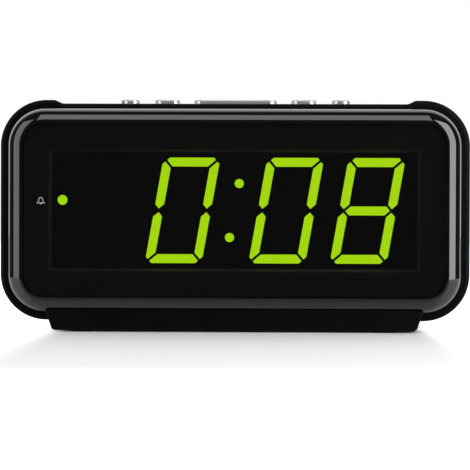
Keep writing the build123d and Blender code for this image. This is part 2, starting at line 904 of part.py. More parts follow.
def battery_springs():
    # one bent leaf for each cell: flat on the end wall, then out to a bow and back
    leaves = []
    for side in (-1, 1):
        wall = bay_end(side) - side * contact_thickness / 2
        low, high = bay_floor_y + contact_edge_gap, cover_front_y - contact_edge_gap
        tip = wall - side * contact_reach
        tail = low + (high - low) / 4
        points = [
            (wall, low), (wall, high), (tip, (low + high) / 2), (wall - side * contact_reach / 3, tail)
        ]
        strip = trace(FilletPolyline(*points, radius=contact_bend), line_width=contact_thickness)
        base = cell_z(-side) - contact_width / 2
        leaves.append(upright(strip, base, base + contact_width))
    return group(leaves)


def battery_plates():
    # one flat plate with a raised nub for each cell
    plates = []
    for side in (-1, 1):
        wall, z = bay_end(side), cell_z(side)
        middle = (bay_floor_y + cover_front_y) / 2
        depth = bay_depth - 2 * contact_edge_gap
        outline = Pos(wall - side * contact_thickness / 2, middle) * Rectangle(contact_thickness, depth)
        plate = upright(outline, z - contact_width / 2, z + contact_width / 2)
        face = wall - side * contact_thickness / 2
        end = wall - side * (contact_thickness + nub_height)
        plates.append(plate + rod_x(nub_radius, middle, z, min(face, end), max(face, end)))
    return group(plates)


def battery_door():
    # a flat door whose round lower edge is the middle of its hinge
    above = Pos(-bay_left, hinge_z + door_height) * Rectangle(2 * door_width, 2 * door_height)
    door = prism(door_face(0) & above, door_front_y, door_back_y)
    back = door.faces().sort_by(Axis.Y)[-1]
    door = chamfer([e for e in back.edges() if e.center().Z > hinge_z + door_thickness], edge_break)
    half = door_width / 2
    door += rod_x(door_thickness / 2, hinge_y, hinge_z, -bay_left - half, half - bay_left)
    reach = half + door_lug_length
    door += rod_x(door_lug_radius, hinge_y, hinge_z, -bay_left - reach, reach - bay_left)
    for i in range(door_grip_count):
        z = bay_z + door_height / 2 - (i + 1) * door_grip_pitch
        door -= rod_x(
            door_grip_radius, door_back_y, z, -bay_left - door_tab_width / 2, door_tab_width / 2 - bay_left
        )
    return door


def lead_pair(start, end):
    # two insulated wires side by side, leaving both ends square to what they are soldered to
    x0, y0, z0 = start
    x1, y1, z1 = end
    stub = lead_stub_share * (y0 - y1)
    wires = []
    for side in (-1, 1):
        shift = side * lead_pair_gap / 2
        points = [
            (x0 + shift, y0, z0), (x0 + shift, y0 - stub, z0),
            (x1 + shift, y1 + stub, z1), (x1 + shift, y1, z1),
        ]
        path = FilletPolyline(*points, radius=lead_bend)
        section = Plane(origin=points[0], z_dir=(0, -stub, 0)) * Circle(lead_radius)
        wires.append(sweep(section, path=path))
    return group(wires)


def dc_leads():
    start = (jack_right, jack_end_y, jack_z)
    return lead_pair(start, (jack_right - pad_shift, board_back_y, jack_z + pad_shift))


def buzzer_leads():
    start = (buzzer_right, cover_front_y - buzzer_depth, buzzer_z)
    return lead_pair(start, (buzzer_right - 2 * pad_shift, board_back_y, buzzer_z + pad_shift))


def battery_leads():
    start = (-bay_left, bay_floor_y - bay_wall, bay_z)
    end = (-bay_left - 3 * pad_shift, board_back_y, bay_z - pad_shift)
    return lead_pair(start, end)


def stand_outline():
    bottom = stand_bottom_width / 2
    brow_z = case_lift + lip_rise - lip_cut_rise
    brow = bottom + (brow_z - foot_proud) * tan(radians(stand_flare_angle))
    crest = brow - lip_cut_run
    points = [
        (-bottom, foot_proud), (bottom, foot_proud), (brow, brow_z),
        (crest, brow_z + lip_cut_rise), (-crest, brow_z + lip_cut_rise), (-brow, brow_z),
    ]
    return make_face(Polyline(*points, close=True))


foot_x = stand_bottom_width / 2 - foot_side_inset
foot_places = [
    (sx * foot_x, y)
    for sx in (-1, 1)
    for y in (stand_front_y + foot_end_inset, stand_back_y - foot_end_inset)
]


def desk_stand():
    # a flared plinth, scribed to the case above it and to the bezel's lower edge
    block = prism(stand_outline(), stand_front_y, stand_back_y)
    block = fillet(
        [e for face in block.faces().sort_by(Axis.X)[:1] + block.faces().sort_by(Axis.X)[-1:]
         for e in face.edges() if abs((e % 0).Z) > sin(radians(stand_flare_angle))],
        stand_corner,
    )
    block = chamfer(block.faces().sort_by(Axis.Z)[0].edges(), stand_edge)
    block -= case_block(-stand_gap, rim_y - stand_gap, back_y + overrun)
    block -= bezel_block(stand_gap)
    for x, y in foot_places:
        block -= rod_z(foot_radius + stand_gap, x, y, -overrun, foot_thickness)
    for x, y in stand_screw_places:
        tip = case_lift + draft(y) - stand_screw_bite - screw_tip_gap
        block -= rod_z(screw_radius + screw_play, x, y, tip, case_lift + overrun)
    return block


def rubber_feet():
    feet = []
    for x, y in foot_places:
        foot = rod_z(foot_radius, x, y, 0, foot_thickness)
        feet.append(fillet(foot.faces().sort_by(Axis.Z)[0].edges(), foot_round))
    return group(feet)


def screw(seat, axis, shank):
    # a pan-head screw whose head rests on the seat and whose shank runs along the axis
    spot = Plane(origin=seat, z_dir=axis)
    low = (Align.CENTER, Align.CENTER, Align.MIN)
    high = (Align.CENTER, Align.CENTER, Align.MAX)
    body = Cylinder(screw_head_radius, screw_head_height, align=high)
    body += Cylinder(screw_radius, shank, align=low)
    recess = Pos(0, 0, socket_depth - screw_head_height) * Cylinder(
        socket_radius, socket_depth + overrun, align=high
    )
    return spot * (body - recess)


def case_screws():
    seat_y = tower_split_y + tower_floor
    shank = tower_floor + screw_bite
    return group([screw((x, seat_y, z), (0, -1, 0), shank) for x, z in tower_places])


def main_board_screws():
    shank = board_thickness + small_screw_bite
    return group([screw((x, board_back_y, z), (0, -1, 0), shank) for x, z in board_screw_places])


def key_board_screws():
    shank = key_board_thickness + small_screw_bite
    return group([screw((x, y, key_board_bottom_z), (0, 0, 1), shank) for x, y in key_screw_places])


def switch_board_screws():
    seat_y = slide_back_y - switch_board_thickness
    shank = switch_board_thickness + small_screw_bite
    return group([screw((x, seat_y, z), (0, 1, 0), shank) for x, z in switch_screw_places])


def stand_screws():
    screws = []
    for x, y in stand_screw_places:
        seat = case_lift + draft(y) + case_wall + stand_boss_height
        shank = stand_boss_height + case_wall + stand_screw_bite
        screws.append(screw((x, y, seat), (0, 0, -1), shank))
    return group(screws)


pieces = {
    "cabinet": cabinet(),
    "front_bezel": front_bezel(),
    "display_lens": display_lens(),
    "lens_tape": lens_tape(),
    "led_reflector": led_reflector(),
    "hour_tens_segments": light_guides(bar_faces("hour_tens", "abcdefg")),
    "hour_units_segments": light_guides(bar_faces("hour_units", "abcdef")),
    "minute_tens_segments": light_guides(bar_faces("minute_tens", "abcdef")),
    "minute_units_segments": light_guides(bar_faces("minute_units", "abcdefg")),
    "unlit_segments": light_guides(bar_faces("hour_units", "g") + bar_faces("minute_tens", "g")),
    "colon_dots": light_guides(colon_faces),
    "alarm_dot": light_guides([alarm_face]),
    "led_chips": led_chips(),
    "main_board": main_board(),
    "controller_chip": controller_chip(),
    "quartz_crystal": quartz_crystal(),
    "filter_capacitors": filter_capacitors(),
    "ribbon_sockets": ribbon_sockets(),
    "key_ribbon": key_ribbon(),
    "switch_ribbon": switch_ribbon(),
    "key_board": key_board(),
    "tact_switch_bodies": tact_switch_bodies(),
    "rear_cover": rear_cover(),
    "slide_switch_bodies": slide_switch_bodies(),
    "alarm_switch_knob": slide_knob(alarm_slide_right),
    "dimmer_knob": slide_knob(dimmer_slide_right),
    "switch_board": switch_board(),
    "dc_jack": dc_jack(),
    "dc_jack_pin": dc_jack_pin(),
    "dc_jack_nut": dc_jack_nut(),
    "dc_leads": dc_leads(),
    "buzzer_case": buzzer_case(),
    "buzzer_disc": buzzer_disc(),
    "buzzer_leads": buzzer_leads(),
    "battery_tray": battery_tray(),
    "battery_springs": battery_springs(),
    "battery_plates": battery_plates(),
    "battery_leads": battery_leads(),
    "battery_door": battery_door(),
    "desk_stand": desk_stand(),
    "rubber_feet": rubber_feet(),
    "case_screws": case_screws(),
    "main_board_screws": main_board_screws(),
    "key_board_screws": key_board_screws(),
    "switch_board_screws": switch_board_screws(),
    "stand_screws": stand_screws(),
}
for name, (place, width) in button_places.items():
    pieces[f"{name}_button"] = button(place, width, name == "snooze")
    pieces[f"{name}_plunger"] = plunger(place)

os.makedirs("parts", exist_ok=True)
for name, piece in pieces.items():
    export_step(piece, f"parts/{name}.step")
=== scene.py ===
import math

import bpy
import numpy as np
from mathutils import Matrix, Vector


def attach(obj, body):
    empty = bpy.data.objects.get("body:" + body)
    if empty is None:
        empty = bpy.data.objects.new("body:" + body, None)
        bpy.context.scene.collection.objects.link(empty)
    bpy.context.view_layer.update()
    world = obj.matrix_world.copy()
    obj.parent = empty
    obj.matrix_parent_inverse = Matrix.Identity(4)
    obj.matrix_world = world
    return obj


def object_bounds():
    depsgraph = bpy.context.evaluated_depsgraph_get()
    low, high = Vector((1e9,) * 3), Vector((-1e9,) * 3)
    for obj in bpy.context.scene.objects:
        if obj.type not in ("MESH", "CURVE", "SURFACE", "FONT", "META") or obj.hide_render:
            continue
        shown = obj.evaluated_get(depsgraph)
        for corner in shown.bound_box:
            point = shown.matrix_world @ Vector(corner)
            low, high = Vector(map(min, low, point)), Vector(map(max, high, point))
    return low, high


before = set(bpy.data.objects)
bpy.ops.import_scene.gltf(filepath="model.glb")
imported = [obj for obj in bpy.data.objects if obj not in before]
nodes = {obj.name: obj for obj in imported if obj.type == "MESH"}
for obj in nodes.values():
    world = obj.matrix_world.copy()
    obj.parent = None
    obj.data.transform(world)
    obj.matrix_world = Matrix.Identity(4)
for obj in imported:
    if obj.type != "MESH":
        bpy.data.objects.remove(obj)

mm = 0.001
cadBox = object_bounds()
print("frame loaded:", len(nodes), "nodes")


def linear(hexColour):
    # sRGB hex to the linear colour that a shader takes
    srgb = np.array([int(hexColour[i:i + 2], 16) for i in (1, 3, 5)]) / 255
    rgb = np.where(srgb <= 0.04045, srgb / 12.92, ((srgb + 0.055) / 1.055) ** 2.4)
    return (*rgb.tolist(), 1.0)


white = linear("#ffffff")


def perMm(size):
    # a pattern's scale for features of this many millimetres
    return 1 / (size * mm)


def addNode(tree, kind, settings=None, values=None, links=None):
    # one node: settings are its properties, values its sockets' constants, links its sockets' sources
    node = tree.nodes.new(kind)
    for name, value in (settings or {}).items():
        setattr(node, name, value)
    for socket, value in (values or {}).items():
        node.inputs[socket].default_value = value
    for socket, (source, output) in (links or {}).items():
        tree.links.new(source.outputs[output], node.inputs[socket])
    return node


def addPiece(name, points, faces):
    mesh = bpy.data.meshes.new(name)
    mesh.from_pydata(points.tolist(), [], faces)
    piece = bpy.data.objects.new(name, mesh)
    bpy.context.scene.collection.objects.link(piece)
    return piece


def startMaterial(name):
    material = bpy.data.materials.new(name)
    material.use_nodes = True
    tree = material.node_tree
    tree.nodes.clear()
    return material, tree, addNode(tree, "ShaderNodeTexCoord")


def endMaterial(tree, shader):
    addNode(tree, "ShaderNodeOutputMaterial", links={"Surface": (shader, 0)})


cloudDetail, grainDetail = 3.0, 2.0


def mouldedFinish(name, look):
    # a moulded or cast surface: broad clouds shift its colour and gloss a little,
    # and a fine grain roughens it, both on Object coordinates
    material, tree, place = startMaterial(name)
    cloud, grain = [
        addNode(tree, "ShaderNodeTexNoise", values={"Scale": perMm(look[size]), "Detail": detail},
                links={"Vector": (place, "Object")})
        for size, detail in (("cloudMm", cloudDetail), ("grainMm", grainDetail))]
    colour = addNode(tree, "ShaderNodeMix", settings={"data_type": "RGBA"},
                     values={6: linear(look["colours"][0]), 7: linear(look["colours"][1])},
                     links={0: (cloud, 0)})
    gloss = addNode(tree, "ShaderNodeMapRange",
                    values={"To Min": look["roughness"][0], "To Max": look["roughness"][1]},
                    links={"Value": (cloud, 0)})
    bump = addNode(tree, "ShaderNodeBump", values={"Strength": look["bump"], "Distance": look["depthMm"] * mm},
                   links={"Height": (grain, 0)})
    shader = addNode(tree, "ShaderNodeBsdfPrincipled", values=look.get("sockets"),
                     links={"Base Color": (colour, 2), "Roughness": (gloss, 0), "Normal": (bump, 0)})
    endMaterial(tree, shader)
    return material


# ABS, moulded in a spark-eroded tool: a deep black with a soft even sheen
satinAbs = mouldedFinish("moulded_abs_satin_black", {
    "colours": ("#020202", "#040404"), "cloudMm": 14, "grainMm": 0.3, "depthMm": 0.006, "bump": 0.3,
    "roughness": (0.38, 0.46), "sockets": {"IOR": 1.5, "Specular IOR Level": 0.09}})
# ABS from a coarser tool: a greyer, duller black for the back of the clock
coarseAbs = mouldedFinish("moulded_abs_coarse_black", {
    "colours": ("#121212", "#191919"), "cloudMm": 12, "grainMm": 0.35, "depthMm": 0.02, "bump": 0.5,
    "roughness": (0.5, 0.6), "sockets": {"IOR": 1.5, "Specular IOR Level": 0.3}})
# ABS under bright chrome, a little hazed by fingers: it mirrors the bright panels
# and blurs the rest to pale grey
chromePlate = mouldedFinish("chrome_plated_abs", {
    "colours": ("#d2d2d3", "#dededf"), "cloudMm": 3, "grainMm": 0.25, "depthMm": 0.003, "bump": 0.06,
    "roughness": (0.2, 0.26), "sockets": {"Metallic": 0.72}})
# nylon, moulded: black with a dull gleam
mouldedNylon = mouldedFinish("moulded_nylon_black", {
    "colours": ("#101011", "#17171a"), "cloudMm": 4, "grainMm": 0.2, "depthMm": 0.004, "bump": 0.15,
    "roughness": (0.32, 0.42), "sockets": {"IOR": 1.53}})
# acetal, moulded: a waxy dark grey for the slide knobs, so that they show in their slots
mouldedAcetal = mouldedFinish("moulded_acetal_dark_grey", {
    "colours": ("#3a3a3c", "#464649"), "cloudMm": 2, "grainMm": 0.2, "depthMm": 0.004, "bump": 0.15,
    "roughness": (0.38, 0.46), "sockets": {"IOR": 1.48}})
# rubber, pressed: dark and dull
pressedRubber = mouldedFinish("pressed_rubber_black", {
    "colours": ("#121212", "#1b1b1b"), "cloudMm": 3, "grainMm": 0.4, "depthMm": 0.02, "bump": 0.5,
    "roughness": (0.7, 0.85), "sockets": {"IOR": 1.52}})
# acrylic foam tape: dull, with open cells
foamTape = mouldedFinish("acrylic_foam_tape", {
    "colours": ("#0a0a0a", "#101010"), "cloudMm": 2, "grainMm": 0.3, "depthMm": 0.05, "bump": 0.8,
    "roughness": (0.85, 0.95), "sockets": {"IOR": 1.45}})
# polycarbonate with a screen-printed black face: flat black
printedFace = mouldedFinish("polycarbonate_printed_black", {
    "colours": ("#030303", "#050505"), "cloudMm": 6, "grainMm": 0.4, "depthMm": 0.001, "bump": 0.1,
    "roughness": (0.6, 0.7), "sockets": {"IOR": 1.55, "Specular IOR Level": 0.02}})
# tinted epoxy, cast in the wells: dark while its chip is off
darkEpoxy = mouldedFinish("cast_epoxy_unlit", {
    "colours": ("#040503", "#070804"), "cloudMm": 2, "grainMm": 0.3, "depthMm": 0.004, "bump": 0.1,
    "roughness": (0.5, 0.6), "sockets": {"IOR": 1.52, "Specular IOR Level": 0.02}})
# the same epoxy with its chip on: an even yellow-green glow, set for what the smoked lens takes away
litEpoxy = mouldedFinish("cast_epoxy_lit_green", {
    "colours": ("#6f8a00", "#789600"), "cloudMm": 2, "grainMm": 0.3, "depthMm": 0.004, "bump": 0.1,
    "roughness": (0.5, 0.6),
    "sockets": {"IOR": 1.52, "Emission Color": linear("#9dd100"), "Emission Strength": 2.85}})
# chip packages: pale ceramic for the emitters, dull black epoxy for the controller
paleCeramic = mouldedFinish("pressed_ceramic_pale", {
    "colours": ("#d8d6c8", "#e6e4d8"), "cloudMm": 0.8, "grainMm": 0.1, "depthMm": 0.004, "bump": 0.2,
    "roughness": (0.4, 0.5), "sockets": {"IOR": 1.6}})
chipEpoxy = mouldedFinish("moulded_epoxy_chip_black", {
    "colours": ("#151515", "#1e1e1f"), "cloudMm": 2, "grainMm": 0.15, "depthMm": 0.006, "bump": 0.4,
    "roughness": (0.55, 0.65), "sockets": {"IOR": 1.55}})
# nylon, natural: milky white sockets
naturalNylon = mouldedFinish("moulded_nylon_natural", {
    "colours": ("#d9d4c2", "#e6e2d4"), "cloudMm": 3, "grainMm": 0.2, "depthMm": 0.004, "bump": 0.15,
    "roughness": (0.35, 0.45),
    "sockets": {"IOR": 1.53, "Subsurface Weight": 0.1, "Subsurface Scale": 0.5 * mm}})
# steel under bright nickel: a warm white metal with faint rolling marks
nickelSteel = mouldedFinish("rolled_steel_nickel_plated", {
    "colours": ("#b9b6ae", "#cfccc5"), "cloudMm": 1.5, "grainMm": 0.12, "depthMm": 0.003, "bump": 0.2,
    "roughness": (0.2, 0.32), "sockets": {"Metallic": 1.0}})
# steel under black zinc: dark grey metal with an oily bloom; the screws really have it, while on the slide switch
# bodies this dark finish is painted shade for the inside of their slots
blackZincAndSlotShade = mouldedFinish("turned_steel_black_zinc_and_slot_shade", {
    "colours": ("#2a2a2c", "#3a3a3d"), "cloudMm": 1.2, "grainMm": 0.15, "depthMm": 0.004, "bump": 0.3,
    "roughness": (0.35, 0.5), "sockets": {"Metallic": 1.0}})
# brass sheet: yellow metal, a little tarnished
rolledBrass = mouldedFinish("rolled_brass_sheet", {
    "colours": ("#c79a45", "#dcb565"), "cloudMm": 5, "grainMm": 0.2, "depthMm": 0.003, "bump": 0.2,
    "roughness": (0.28, 0.4), "sockets": {"Metallic": 1.0}})
# PVC sleeve, extruded: smooth and slightly waxy
pvcSleeve = mouldedFinish("extruded_pvc_red", {
    "colours": ("#8f1512", "#a31d18"), "cloudMm": 4, "grainMm": 0.3, "depthMm": 0.004, "bump": 0.15,
    "roughness": (0.38, 0.46), "sockets": {"IOR": 1.54}})
# heat-shrunk sleeve on a capacitor can: dark blue and glossy
shrunkSleeve = mouldedFinish("shrunk_pvc_dark_blue", {
    "colours": ("#171d33", "#1f2740"), "cloudMm": 4, "grainMm": 0.3, "depthMm": 0.004, "bump": 0.15,
    "roughness": (0.22, 0.3), "sockets": {"IOR": 1.54}})


def polishedBezel():
    # ABS from a mirror-polished tool under a clear lacquer: sharp reflections, faintly rippled;
    # the bevel round the display window is painted a dull, lighter grey as a painted highlight, so it shows as a thin
    # pale line
    look = {"gloss": "#050506", "dullHighlight": "#4c4c4c", "roughness": (0.03, 0.6), "ior": 1.5, "coatRoughness": 0.015,
            "rippleMm": 4, "ripple": 0.05, "rippleDepthMm": 0.004, "window": (61.85, 20.4), "middle": 40.5}
    material, tree, place = startMaterial("polished_abs_clear_lacquer")
    spot = addNode(tree, "ShaderNodeSeparateXYZ", links={0: (place, "Object")})
    height = addNode(tree, "ShaderNodeMath", settings={"operation": "SUBTRACT"},
                     values={1: look["middle"] * mm}, links={0: (spot, "Z")})
    sides = [addNode(tree, "ShaderNodeMath", settings={"operation": "COMPARE"},
                     values={1: 0.0, 2: half * mm}, links={0: source})
             for source, half in zip(((spot, "X"), (height, 0)), look["window"])]
    bevel = addNode(tree, "ShaderNodeMath", settings={"operation": "MULTIPLY"},
                    links={0: (sides[0], 0), 1: (sides[1], 0)})
    # inside the bevel mask the bezel takes the lighter grey: a painted highlight, not a colour of its own
    colour = addNode(tree, "ShaderNodeMix", settings={"data_type": "RGBA"},
                     values={6: linear(look["gloss"]), 7: linear(look["dullHighlight"])}, links={0: (bevel, 0)})
    gloss = addNode(tree, "ShaderNodeMapRange",
                    values={"To Min": look["roughness"][0], "To Max": look["roughness"][1]},
                    links={"Value": (bevel, 0)})
    lacquer = addNode(tree, "ShaderNodeMath", settings={"operation": "SUBTRACT"},
                      values={0: 1.0}, links={1: (bevel, 0)})
    ripple = addNode(tree, "ShaderNodeTexNoise", values={"Scale": perMm(look["rippleMm"])},
                     links={"Vector": (place, "Object")})
    bump = addNode(tree, "ShaderNodeBump",
                   values={"Strength": look["ripple"], "Distance": look["rippleDepthMm"] * mm},
                   links={"Height": (ripple, 0)})
    shader = addNode(tree, "ShaderNodeBsdfPrincipled",
                     values={"IOR": look["ior"], "Coat Roughness": look["coatRoughness"]},
                     links={"Base Color": (colour, 2), "Roughness": (gloss, 0), "Coat Weight": (lacquer, 0),
                            "Normal": (bump, 0)})
    endMaterial(tree, shader)
    return material


def smokedAcrylic():
    # cast acrylic sheet with a neutral grey dye under a hard coat: mirror-smooth,
    # and it dims what lies behind it
    look = {"tint": "#a8a8a8", "dustMm": 7, "dustDetail": 4.0, "roughness": (0.0, 0.02), "ior": 1.49,
            "coat": 0.2, "coatRoughness": 0.01}
    material, tree, place = startMaterial("cast_acrylic_smoked")
    dust = addNode(tree, "ShaderNodeTexNoise",
                   values={"Scale": perMm(look["dustMm"]), "Detail": look["dustDetail"]},
                   links={"Vector": (place, "Object")})
    gloss = addNode(tree, "ShaderNodeMapRange",
                    values={"To Min": look["roughness"][0], "To Max": look["roughness"][1]},
                    links={"Value": (dust, 0)})
    shader = addNode(tree, "ShaderNodeBsdfPrincipled",
                     values={"Base Color": linear(look["tint"]), "IOR": look["ior"], "Transmission Weight": 1.0,
                             "Coat Weight": look["coat"], "Coat Roughness": look["coatRoughness"]},
                     links={"Roughness": (gloss, 0)})
    endMaterial(tree, shader)
    return material


def solderMask():
    # glass-epoxy laminate under green solder mask: copper tracks show through as paler bands
    look = {"mask": "#0d4a22", "track": "#1d6b35", "trackMm": 1.27, "tracks": 8, "offset": 0.37,
            "trackWidth": 0.06, "weaveMm": 0.5, "weave": 0.2, "weaveDepthMm": 0.01, "roughness": 0.35, "ior": 1.52}
    material, tree, place = startMaterial("laminate_green_solder_mask")
    tracks = addNode(tree, "ShaderNodeTexBrick", settings={"offset": look["offset"], "squash": 1.0},
                     values={"Scale": perMm(look["trackMm"] * look["tracks"]), "Mortar Size": look["trackWidth"],
                             "Color1": linear(look["mask"]), "Color2": linear(look["mask"]),
                             "Mortar": linear(look["track"])},
                     links={"Vector": (place, "Object")})
    weave = addNode(tree, "ShaderNodeTexNoise", values={"Scale": perMm(look["weaveMm"])},
                    links={"Vector": (place, "Object")})
    bump = addNode(tree, "ShaderNodeBump",
                   values={"Strength": look["weave"], "Distance": look["weaveDepthMm"] * mm},
                   links={"Height": (weave, 0)})
    shader = addNode(tree, "ShaderNodeBsdfPrincipled", values={"Roughness": look["roughness"], "IOR": look["ior"]},
                     links={"Base Color": (tracks, 0), "Normal": (bump, 0)})
    endMaterial(tree, shader)
    return material


def ribbonPvc():
    # flat cable: grey PVC over round conductors, so its face is ribbed across its width
    look = {"pvc": "#8e8e8c", "groove": "#6f6f6d", "pitchMm": 1.0, "rib": 0.6, "ribDepthMm": 0.2,
            "roughness": 0.5, "ior": 1.54}
    oneBand = math.tau / 20       # a wave texture's scale for one band per unit of length
    material, tree, place = startMaterial("extruded_pvc_flat_cable")
    ribs = addNode(tree, "ShaderNodeTexWave", settings={"bands_direction": "X"},
                   values={"Scale": perMm(look["pitchMm"]) * oneBand}, links={"Vector": (place, "Object")})
    colour = addNode(tree, "ShaderNodeMix", settings={"data_type": "RGBA"},
                     values={6: linear(look["groove"]), 7: linear(look["pvc"])}, links={0: (ribs, "Fac")})
    bump = addNode(tree, "ShaderNodeBump",
                   values={"Strength": look["rib"], "Distance": look["ribDepthMm"] * mm},
                   links={"Height": (ribs, "Fac")})
    shader = addNode(tree, "ShaderNodeBsdfPrincipled", values={"Roughness": look["roughness"], "IOR": look["ior"]},
                     links={"Base Color": (colour, 2), "Normal": (bump, 0)})
    endMaterial(tree, shader)
    return material


finishOf = {
    "cabinet": satinAbs, "rear_cover": coarseAbs, "desk_stand": satinAbs, "battery_door": coarseAbs,
    "battery_tray": coarseAbs, "front_bezel": polishedBezel(), "display_lens": smokedAcrylic(), "lens_tape": foamTape,
    "led_reflector": printedFace, "hour_tens_segments": darkEpoxy, "unlit_segments": darkEpoxy,
    "hour_units_segments": litEpoxy, "minute_tens_segments": litEpoxy, "minute_units_segments": litEpoxy,
    "colon_dots": litEpoxy, "alarm_dot": litEpoxy, "led_chips": paleCeramic, "controller_chip": chipEpoxy,
    "quartz_crystal": nickelSteel, "filter_capacitors": shrunkSleeve, "ribbon_sockets": naturalNylon,
    # slide switch bodies: dark black zinc in place of bright steel, as painted shade inside their slots
    "tact_switch_bodies": chipEpoxy, "slide_switch_bodies": blackZincAndSlotShade, "alarm_switch_knob": mouldedAcetal,
    "dimmer_knob": mouldedAcetal, "dc_jack": mouldedNylon, "dc_jack_pin": nickelSteel, "dc_jack_nut": nickelSteel,
    "buzzer_case": mouldedNylon, "buzzer_disc": rolledBrass, "battery_springs": nickelSteel,
    "battery_plates": nickelSteel, "rubber_feet": pressedRubber,
}
# nodes that share a finish by the last word of their names
finishOfKind = {"board": solderMask(), "ribbon": ribbonPvc(), "leads": pvcSleeve, "screws": blackZincAndSlotShade,
                "button": chromePlate, "plunger": mouldedNylon}
for name, obj in nodes.items():
    finish = finishOf.get(name) or finishOfKind[name.split("_")[-1]]
    for slot in obj.material_slots:
        slot.material = finish
print("finishes set on", len(nodes), "nodes")

# border print: the black frame screened on the back of the lens, round the display window; its dark grey is set
# lighter than the tape behind it, as painted light standing in for the light that the lens keeps from reaching the
# tape
border = {"outer": (70.0, 28.45, 6.9), "inner": (61.8, 20.35, 0.6), "middle": 40.5, "ink": 0.02, "steps": 12,
          "colours": ("#161616", "#1a1a1a")}


def roundedLoop(halfWidth, halfHeight, radius, steps):
    # four quarter circles, each about a corner drawn in by the radius, run round from the right
    turn = np.linspace(0, math.pi / 2, steps)
    corners = np.array([(1, 1), (-1, 1), (-1, -1), (1, -1)])
    angle = (np.arange(4) * math.pi / 2)[:, None] + turn
    middle = corners * (halfWidth - radius, halfHeight - radius)
    ring = middle[:, None, :] + radius * np.stack([np.cos(angle), np.sin(angle)], axis=2)
    return ring.reshape(-1, 2)


def borderPrintPaintedLight():
    # a flat ring just inside the back face of the lens: one rounded loop round another, with a thin edge
    lens = nodes["display_lens"]
    face = max((lens.matrix_world @ v.co).y for v in lens.data.vertices) - border["ink"] * mm
    loops = [(roundedLoop(*border[name], border["steps"]), depth)
             for depth, names in ((face - border["ink"] * mm, ("outer", "inner")), (face, ("inner", "outer")))
             for name in names]
    count = 4 * border["steps"]
    points = [np.stack([flat[:, 0], np.full(count, depth / mm), flat[:, 1] + border["middle"]], axis=1) * mm
              for flat, depth in loops]
    ring = np.arange(count)
    after = (ring + 1) % count
    faces = np.concatenate([
        np.stack([here * count + ring, here * count + after, there * count + after, there * count + ring], axis=1)
        for here, there in ((0, 1), (1, 2), (2, 3), (3, 0))])
    frameMark = addPiece("lens_border_print_painted_light", np.concatenate(points), faces.tolist())
    # screen ink: an even dull dark grey, partly painted light standing in for the light on the tape behind the lens
    frameMark.data.materials.append(mouldedFinish("screen_ink_painted_light", {
        "colours": border["colours"], "cloudMm": 5, "grainMm": 0.1, "depthMm": 0.002, "bump": 0.1,
        "roughness": (0.7, 0.8), "sockets": {"IOR": 1.5, "Specular IOR Level": 0.1}}))
    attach(frameMark, "case")


borderPrintPaintedLight()
print("lens border printed")

# alarm mark: a small bell printed on the lens beside the alarm dot, in place of lettering
bell = {"middle": (-64.2, 43.6), "height": 2.4, "width": 2.8, "line": 0.25, "ink": 0.02, "steps": 64,
        "colours": ("#a0a0a0", "#acacac"),
        # shares of the width: half the wall, what the skirt adds to it, half the clapper
        "wall": 0.3, "flare": 0.2, "clapperWide": 0.15,
        # shares of the height: where the flare dies, where the dome begins, the skirt's foot, half the clapper
        "flareFade": 0.13, "dome": 0.4, "foot": 0.14, "clapperHigh": 0.08}


def alarmBell():
    # half-width against height: a flared skirt (exponential) under a round dome (half ellipse), run up one side
    # and down the other; a line of constant width follows it inwards, and a half-round clapper hangs below
    high = np.linspace(0, 1, bell["steps"])
    dome = np.clip(high - bell["dome"], 0, 1) / (1 - bell["dome"])
    wide = (bell["wall"] + bell["flare"] * np.exp(-high / bell["flareFade"])) * np.sqrt(np.clip(1 - dome ** 2, 0, 1))
    skirt = np.stack([np.r_[wide, -wide[-2::-1]],
                      bell["foot"] + (1 - bell["foot"]) * np.r_[high, high[-2::-1]]], axis=1)
    turn = np.linspace(math.pi, 2 * math.pi, bell["steps"] // 2)
    clapper = np.stack([bell["clapperWide"] * np.cos(turn),
                        bell["clapperHigh"] + bell["clapperHigh"] * np.sin(turn)], axis=1)
    lens = nodes["display_lens"]
    face = min((lens.matrix_world @ v.co).y for v in lens.data.vertices)
    inked = face - bell["ink"] * mm
    points, faces, start = [], [], 0
    for outline, line in ((skirt, bell["line"]), (clapper, None)):
        outer = (outline - [0, 0.5]) * [bell["width"], bell["height"]] + bell["middle"]
        count = len(outer)
        ring = np.arange(count)
        after = (ring + 1) % count
        if line:
            run = np.roll(outer, -1, axis=0) - np.roll(outer, 1, axis=0)
            run /= np.linalg.norm(run, axis=1)[:, None]
            inner = outer + line * np.stack([-run[:, 1], run[:, 0]], axis=1)
            loops = [(outer, inked), (inner, inked), (inner, face), (outer, face)]
        else:
            loops = [(outer, inked), (outer, face)]
            faces.append((start + ring).tolist())
            faces.append((start + count + ring[::-1]).tolist())
        points += [np.stack([flat[:, 0] * mm, np.full(count, depth), flat[:, 1] * mm], axis=1)
                   for flat, depth in loops]
        for i in range(len(loops) if line else 1):
            here, there = start + i * count, start + (i + 1) % len(loops) * count
            faces += np.stack([here + ring, here + after, there + after, there + ring], axis=1).tolist()
        start += len(loops) * count
    mark = addPiece("alarm_bell_mark", np.concatenate(points), faces)
    # screen ink: pale grey, slightly uneven in cover
    mark.data.materials.append(mouldedFinish("screen_ink_pale_grey", {
        "colours": bell["colours"], "cloudMm": 0.8, "grainMm": 0.1, "depthMm": 0.002, "bump": 0.2,
        "roughness": (0.55, 0.65), "sockets": {"IOR": 1.5, "Specular IOR Level": 0.3}}))
    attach(mark, "case")


alarmBell()
print("alarm mark printed")

